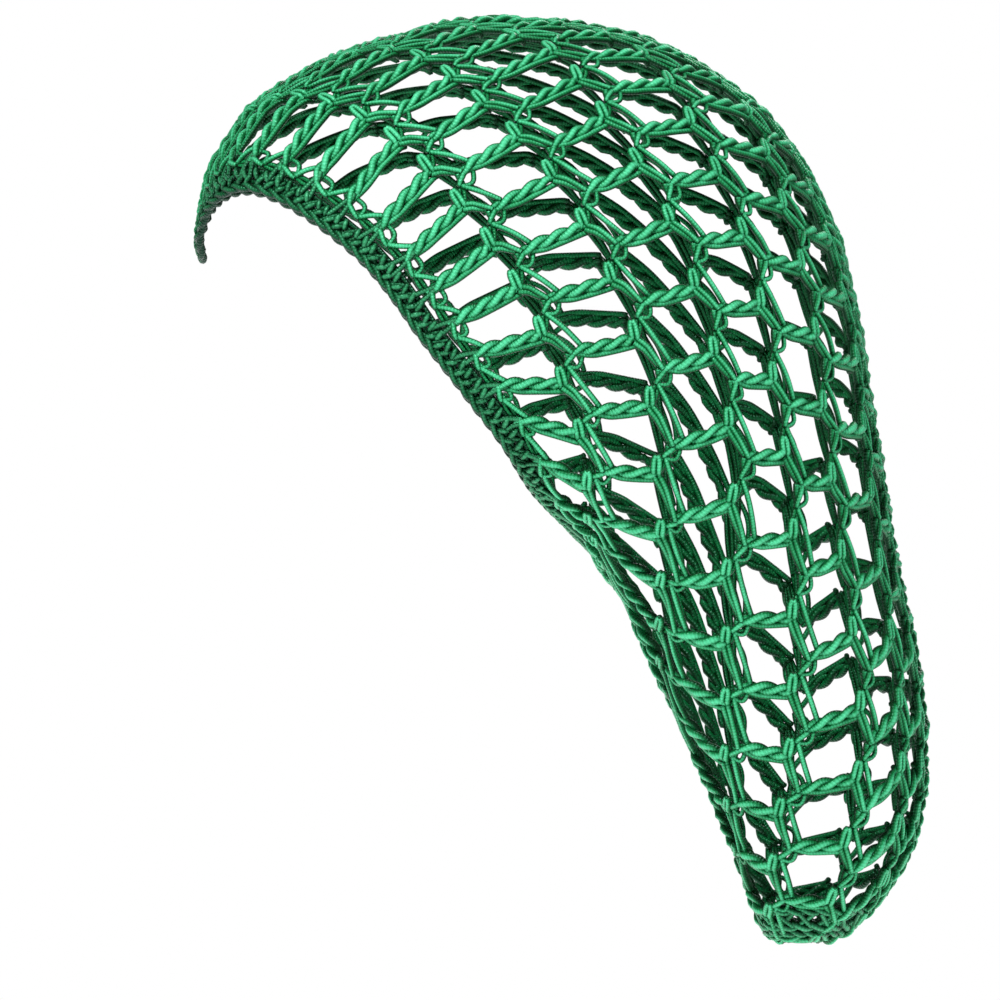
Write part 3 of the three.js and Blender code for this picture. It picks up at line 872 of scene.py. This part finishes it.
# Dark running strands lie behind three rows of short slanted stitches
RUNNING_ACROSS = (3.6, 5.8, 7.8)
RUNNING_OUT = -0.5
RUNNING_STEP = 1.8
RUNNING_RADIUS = 1.0
RUNNING_HEIGHT = 0.8
RUNNING_SIDES = 6
STITCH_SECTIONS = 9
STITCH_COLUMNS = ("foot", "head", "slant", "height", "radius")
STITCH_ROWS = (
    (2.4, 5.6, 1.6, 0.9, 1.15),
    (4.6, 8.2, -1.9, 1.15, 1.2),
    (2.9, 7.6, 2.6, 0.15, 0.95),
)
ROW_OFFSET = 0.45  # stitches by which a row is shifted from the one before
STITCH_JITTER = 0.14
FOOT_SPREAD = 0.3
HEAD_SPREAD = (-0.6, 0.5)
SLANT_SPREAD = (0.7, 1.3)
STITCH_OUT = 0.1
STITCH_END = 0.1  # a stitch starts and ends this far up its arch
STITCH_THIN_END = 0.72
STITCH_RADIUS_SPREAD = (0.9, 1.08)
STITCH_TONES = (0.1, 0.7)


def lay_stitch_row(yarn, row, sizes):
    """One row of slanted stitches, with its sizes by the names of STITCH_COLUMNS."""
    count = round(rim_length / STITCH_PITCH)
    share = np.linspace(0, 1, STITCH_SECTIONS)
    jitter = rng.uniform(-STITCH_JITTER, STITCH_JITTER, count)
    spot = (np.arange(count) + ROW_OFFSET * row + jitter) / count
    foot = sizes["foot"] + rng.uniform(-FOOT_SPREAD, FOOT_SPREAD, (count, 1))
    head = sizes["head"] + rng.uniform(*HEAD_SPREAD, (count, 1))
    leaning = sizes["slant"] * rng.uniform(*SLANT_SPREAD, (count, 1))
    spots = spot[:, None] + leaning * (share - 0.5) / rim_length
    height = sizes["height"] * arch(STITCH_END + (1 - 2 * STITCH_END) * share) + STITCH_OUT
    path, facing = band_at(spots, foot + (head - foot) * share, height)
    swell = sizes["radius"] * (STITCH_THIN_END + (1 - STITCH_THIN_END) * arch(share))
    swell = swell * rng.uniform(*STITCH_RADIUS_SPREAD, (count, 1))
    yarn.add(path, facing, swell, swell, tone=rng.uniform(*STITCH_TONES, count))


# Two legs tie the start of each first bar into the band
LEG_SECTIONS = 10
LEG_TO = 0.2  # share of the bar
LEG_FOOT = (5.2, 0.6)  # millimetres across the band and outwards
LEG_BEND = (9.6, 1.1)
BEND_SPREAD = 0.75
LEG_LIFT = 1.0
LEG_RADIUS = 1.1
LEG_HEIGHT = 1.05
LEG_TONES = (0.3, 0.6)


def lay_legs(yarn):
    foot_spot = starts[0]
    share = np.linspace(0, 1, LEG_SECTIONS)[:, None]
    tie_row, tie_spot = on_bar(np.ones(BARS_ROUND, int), np.arange(BARS_ROUND), LEG_TO)
    tie_point = ring_points(tie_row, tie_spot)
    tie_out = outward_at(tie_point)
    high = tie_point + tie_out * LEG_LIFT
    for side in (-1, 1):
        low, low_out = band_at(foot_spot + side * LEG_SPREAD / rim_length, *LEG_FOOT)
        bend = band_at(foot_spot + side * LEG_SPREAD * BEND_SPREAD / rim_length, *LEG_BEND)[0]
        path = low[:, None] * (1 - share) ** 2 + 2 * bend[:, None] * share * (1 - share)
        path = path + high[:, None] * share**2
        facing = unit(low_out[:, None] * (1 - share) + tie_out[:, None] * share)
        yarn.add(path, facing, LEG_RADIUS, LEG_HEIGHT, tone=rng.uniform(*LEG_TONES, BARS_ROUND))


def lay_band(yarn):
    for across_mm in RUNNING_ACROSS:
        points, facing = band_round(across_mm, RUNNING_OUT, RUNNING_STEP)
        yarn.add(points[None, :-1], facing[None, :-1], RUNNING_RADIUS, RUNNING_HEIGHT, sides=RUNNING_SIDES,
                 closed=True, tone=0.0)
    for row, sizes in enumerate(STITCH_ROWS):
        lay_stitch_row(yarn, row, dict(zip(STITCH_COLUMNS, sizes)))
    lay_legs(yarn)


# The gathered tip: rings of rope and two crossing rows of slanting strands close the bottom

LEVEL_POINTS = 360
TIP_STEP = 0.9
TIP_SPREAD = 0.85  # share of a rope's radius
TIP_TONE = 0.35
SLANT_SECTIONS = 9
QUARTERS = 4
SLANT_REACH = 3  # quarter pitches from a strand's foot to its head
SLANT_ROWS = ((1, 0.1, 1.15), (-1, 0.7, 1.05))  # direction, outwards, radius
SLANT_TONES = (0.2, 0.6)


def level_ring(height):
    """Points round the form at one height in millimetres over its lowest point."""
    drop = np.full(LEVEL_POINTS, 1 - height / HEIGHT)
    front, wide, back, half = level_at(drop)
    turn = np.linspace(0, 2 * math.pi, LEVEL_POINTS, endpoint=False)
    sine = np.sin(turn)
    reach, power = reach_and_power(sine < 0, front, wide, back)
    along = wide + np.sign(sine) * reach * np.abs(sine) ** (2 / power)
    depth = half * WIDTH / 2 * np.abs(np.cos(turn)) ** (2 / power) * np.sign(np.cos(turn))
    return place(along, depth, drop)


def quarter_points(height):
    """Points at quarter pitches of the slanting strands, round the form at one height."""
    line = level_ring(height)
    return evenly(np.concatenate([line, line[:1]]), QUARTERS * TIP_STRANDS + 1)


def lay_tip(yarn):
    for height, radius, period in TIP_ROPES:
        line = respaced(level_ring(height), TIP_STEP, closed=True)
        rope(yarn, line, outward_at(line), radius, radius * TIP_SPREAD, period, closed=True, tone=TIP_TONE)
    low, high = (quarter_points(height) for height in TIP_SLANTS)
    share = np.linspace(0, 1, SLANT_SECTIONS)[:, None]
    for direction, out_mm, radius in SLANT_ROWS:
        feet = np.arange(TIP_STRANDS) * QUARTERS + (direction > 0)
        heads = np.mod(feet + SLANT_REACH * direction, QUARTERS * TIP_STRANDS)
        path = onto_form(low[feet][:, None] * (1 - share) + high[heads][:, None] * share)
        facing = outward_at(path)
        yarn.add(path + facing * out_mm, facing, radius, radius, tone=rng.uniform(*SLANT_TONES, TIP_STRANDS))


# The yarn of each piece is laid in this order, which the random draws follow

near_bar_yarn, far_bar_yarn = lay_bars()
chain_yarn = Yarn()
lay_chains(chain_yarn)
knot_yarn = Yarn()
lay_knots(knot_yarn)
nub_yarn = Yarn()
lay_nubs(nub_yarn)
thin_yarn = Yarn()
lay_thin_strands(thin_yarn)
lay_seam(chain_yarn)
rim_yarn = Yarn()
lay_rim(rim_yarn)
band_yarn = Yarn()
lay_band(band_yarn)
tip_yarn = Yarn()
lay_tip(tip_yarn)


# Finish: one procedural yarn, with a light, a middle and a shade colour for each slot

SURFACE = {
    "Roughness": 0.36,
    "Specular IOR Level": 0.36,
    "Specular Tint": (0.35, 1.0, 0.7, 1),
    "Sheen Weight": 0.05,
    "Sheen Roughness": 0.4,
    "Sheen Tint": (0.3, 0.9, 0.6, 1),
}
RIB_PITCH = 1.1  # millimetres along the strand
MOTTLE_SCALE = 160
MOTTLE_DETAIL = 3
FIBRE_SCALE = 1400
FIBRE_DETAIL = 2
FIBRE_SHARE = 0.35
RELIEF_STRENGTH = 0.6
RELIEF_DEPTH = 0.00025
# What makes a place lighter or darker, as shares of the way along the colour ramp: painted shade on the inner
# faces and between the strands, painted highlight on the outer ridges and rib crests, and a mottle and a tone
# per strand
BASE_LEVEL = -0.27
PAINTED_SHADE_HEIGHT_SHARE = 0.6
PAINTED_VALLEY_SHADE_SHARE = -0.25
MOTTLE_SHARE = 0.3
RIB_HIGHLIGHT_SHARE = 0.1
TONE_SHARE = 0.22
SHADE_PLACE = 0.15
MIDDLE_PLACE = 0.55
LIT_PLACE = 0.95


class YarnFinish:
    """Builds the nodes of one yarn material."""

    def __init__(self, name):
        self.material = bpy.data.materials.new(name)
        self.material.use_nodes = True
        self.nodes = self.material.node_tree.nodes
        self.links = self.material.node_tree.links
        self.shader = self.nodes["Principled BSDF"]
        self.place = self.nodes.new("ShaderNodeTexCoord").outputs["Object"]

    def number(self, operation, *values):
        """A number worked out from plain numbers and from other nodes."""
        node = self.nodes.new("ShaderNodeMath")
        node.operation = operation
        for entry, value in zip(node.inputs, values):
            if isinstance(value, (int, float)):
                entry.default_value = value
            else:
                self.links.new(value, entry)
        return node.outputs[0]

    def noise(self, scale, detail):
        node = self.nodes.new("ShaderNodeTexNoise")
        node.inputs["Scale"].default_value = scale
        node.inputs["Detail"].default_value = detail
        self.links.new(self.place, node.inputs["Vector"])
        return node.outputs["Fac"]

    def strand_places(self):
        """Share round the strand and millimetres along it."""
        coords = self.nodes.new("ShaderNodeUVMap")
        coords.uv_map = "yarn"
        split = self.nodes.new("ShaderNodeSeparateXYZ")
        self.links.new(coords.outputs["UV"], split.inputs["Vector"])
        return split.outputs["X"], split.outputs["Y"]

    def tone_and_painted_shade(self):
        """The strand's own tone, and the height from the inner face outwards, which paints shade on the inner
        faces.
        """
        tone_and_painted_shade = self.nodes.new("ShaderNodeVertexColor")
        tone_and_painted_shade.layer_name = "tone_and_painted_shade"
        split = self.nodes.new("ShaderNodeSeparateColor")
        self.links.new(tone_and_painted_shade.outputs["Color"], split.inputs["Color"])
        return split.outputs["Red"], split.outputs["Green"]

    def colour(self, level, lit, mid, shade):
        ramp = self.nodes.new("ShaderNodeValToRGB")
        first, last = ramp.color_ramp.elements
        first.position = SHADE_PLACE
        first.color = (*shade, 1)
        last.position = LIT_PLACE
        last.color = (*lit, 1)
        ramp.color_ramp.elements.new(MIDDLE_PLACE).color = (*mid, 1)
        self.links.new(level, ramp.inputs["Fac"])
        self.links.new(ramp.outputs["Color"], self.shader.inputs["Base Color"])

    def relief(self, height):
        bump = self.nodes.new("ShaderNodeBump")
        bump.inputs["Strength"].default_value = RELIEF_STRENGTH
        bump.inputs["Distance"].default_value = RELIEF_DEPTH
        self.links.new(height, bump.inputs["Height"])
        self.links.new(bump.outputs["Normal"], self.shader.inputs["Normal"])


def yarn_material(name, lit, mid, shade):
    finish = YarnFinish(name)
    for entry, value in SURFACE.items():
        finish.shader.inputs[entry].default_value = value
    around, along = finish.strand_places()
    tone, outside = finish.tone_and_painted_shade()

    # Slanting ribs of the covered yarn, from 0 to 1
    turn = finish.number("MULTIPLY_ADD", along, 1 / RIB_PITCH, around)
    wave = finish.number("SINE", finish.number("MULTIPLY", turn, 2 * math.pi))
    ribs = finish.number("MULTIPLY_ADD", wave, 0.5, 0.5)

    # 1 along both sides of each strand, -1 on its crests; it paints shade along the sides, between the
    # strands
    painted_valley_shade = finish.number("COSINE", finish.number("MULTIPLY", around, 4 * math.pi))

    # Colour: painted shade between the strands and on the inner faces, painted highlight on the ridges and
    # rib crests
    mottle = finish.noise(MOTTLE_SCALE, MOTTLE_DETAIL)
    level = BASE_LEVEL
    for source, share in ((outside, PAINTED_SHADE_HEIGHT_SHARE), (painted_valley_shade, PAINTED_VALLEY_SHADE_SHARE), (mottle, MOTTLE_SHARE),
                          (ribs, RIB_HIGHLIGHT_SHARE), (tone, TONE_SHARE)):
        level = finish.number("MULTIPLY_ADD", source, share, level)
    finish.colour(level, lit, mid, shade)

    fibres = finish.noise(FIBRE_SCALE, FIBRE_DETAIL)
    finish.relief(finish.number("MULTIPLY_ADD", fibres, FIBRE_SHARE, ribs))
    return finish.material


# The band, rim and tip take darker copies of the net yarn's colours: painted shade towards the lower edges,
# where less light falls
SHADED_EDGE_MID = (0.001, 0.055, 0.014)
SHADED_EDGE_SHADE = (0.0004, 0.006, 0.001)
net_finish = yarn_material("net_yarn", (0.08, 0.56, 0.28), (0.002, 0.15, 0.038), (0.0005, 0.02, 0.002))
band_shaded_finish = yarn_material("band_yarn", (0.04, 0.29, 0.125), SHADED_EDGE_MID, SHADED_EDGE_SHADE)
rim_shaded_finish = yarn_material("rim_yarn", (0.035, 0.27, 0.115), SHADED_EDGE_MID, SHADED_EDGE_SHADE)
tip_shaded_finish = yarn_material("tip_yarn", (0.055, 0.42, 0.19), (0.002, 0.09, 0.025), (0.0005, 0.01, 0.001))

# Each piece with its yarn, the node that it replaces and its finish
PIECES = (
    ("net_bars_near", near_bar_yarn, "net", net_finish),
    ("net_bars_far", far_bar_yarn, "net", net_finish),
    ("net_chains", chain_yarn, "net", net_finish),
    ("net_knots", knot_yarn, "net", net_finish),
    ("net_nubs", nub_yarn, "net", net_finish),
    ("net_thin_strands", thin_yarn, "net", net_finish),
    ("band_stitches", band_yarn, "band", band_shaded_finish),
    ("rim_rope", rim_yarn, "rim_chain", rim_shaded_finish),
    ("tip_ropes", tip_yarn, "tip_gather", tip_shaded_finish),
)
for name, yarn, node, finish in PIECES:
    piece = yarn.mesh(name)
    piece.data.materials.append(finish)
    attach(piece, "root")
    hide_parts(node)


# Studio, in metres

CENTRE = (0.02, 0.0, -0.165)
# Name, place, size and power
LAMPS = (
    ("key", (-0.5, -1.35, 1.65), 0.5, 64),
    ("fill", (1.1, -1.3, 0.4), 1.0, 5),
    ("back", (0.7, 1.7, 1.1), 0.8, 9),
)
ROOM_LIGHT = 0.17
ROOM_COLOUR = (0.97, 0.98, 1.0, 1)
WALL_BRIGHTNESS = 1.0
WHITE = (1, 1, 1, 1)
FLOOR_Z = -0.4
FLOOR_RADIUS = 2.0
FLOOR_CORNERS = 96
FLOOR_COLOUR = (0.93, 0.93, 0.93, 1)
FLOOR_ROUGHNESS = 0.8
FLOOR_GLOW = 0.6


def area_light(name, spot, size, power):
    light = bpy.data.lights.new(name, "AREA")
    light.shape = "DISK"
    light.size = size
    light.energy = power
    lamp = bpy.data.objects.new(name, light)
    lamp.location = spot
    aim = Vector(CENTRE) - Vector(spot)
    lamp.rotation_euler = aim.to_track_quat("-Z", "Y").to_euler()
    bpy.context.scene.collection.objects.link(lamp)


def white_room():
    """A world that lights the yarn softly and shows as a white wall."""
    world = bpy.data.worlds.new("studio")
    world.use_nodes = True
    nodes = world.node_tree.nodes
    links = world.node_tree.links
    room = nodes["Background"]
    room.inputs["Color"].default_value = ROOM_COLOUR
    room.inputs["Strength"].default_value = ROOM_LIGHT
    wall = nodes.new("ShaderNodeBackground")
    wall.inputs["Color"].default_value = WHITE
    wall.inputs["Strength"].default_value = WALL_BRIGHTNESS
    seen = nodes.new("ShaderNodeLightPath")
    either = nodes.new("ShaderNodeMixShader")
    links.new(seen.outputs["Is Camera Ray"], either.inputs["Fac"])
    links.new(room.outputs[0], either.inputs[1])
    links.new(wall.outputs[0], either.inputs[2])
    links.new(either.outputs[0], nodes["World Output"].inputs["Surface"])
    bpy.context.scene.world = world


def pale_floor():
    """A disc under the snood, with a slight glow of its own."""
    mesh = bpy.data.meshes.new("floor")
    edge = np.linspace(0, 2 * math.pi, FLOOR_CORNERS, endpoint=False)
    points = np.stack([FLOOR_RADIUS * np.cos(edge), FLOOR_RADIUS * np.sin(edge), 0 * edge + FLOOR_Z], -1)
    mesh.from_pydata(points.tolist(), [], [tuple(range(FLOOR_CORNERS))])
    finish = bpy.data.materials.new("floor_paint")
    finish.use_nodes = True
    shader = finish.node_tree.nodes["Principled BSDF"]
    shader.inputs["Base Color"].default_value = FLOOR_COLOUR
    shader.inputs["Roughness"].default_value = FLOOR_ROUGHNESS
    shader.inputs["Emission Color"].default_value = WHITE
    shader.inputs["Emission Strength"].default_value = FLOOR_GLOW
    mesh.materials.append(finish)
    floor = bpy.data.objects.new("floor", mesh)
    bpy.context.scene.collection.objects.link(floor)
    return floor


for name, spot, size, power in LAMPS:
    area_light(name, spot, size, power)
white_room()
bpy.context.scene.view_settings.view_transform = "Standard"
floor = pale_floor()

# Camera: a long lens square to the side, with the photo's frame
FRAME_WIDTH = 0.3604
FRAME_CENTRE_X = -0.0002
FRAME_CENTRE_Z = -0.1707
DISTANCE = 8.0
SENSOR = 36.0
FARTHEST_SEEN = 100
camera_data = bpy.data.cameras.new("camera")
camera_data.sensor_width = SENSOR
camera_data.lens = SENSOR * DISTANCE / FRAME_WIDTH
camera_data.clip_end = FARTHEST_SEEN
camera = bpy.data.objects.new("camera", camera_data)
camera.location = (FRAME_CENTRE_X, -DISTANCE, FRAME_CENTRE_Z)
camera.rotation_euler = (math.pi / 2, 0, 0)
bpy.context.scene.collection.objects.link(camera)
bpy.context.scene.camera = camera
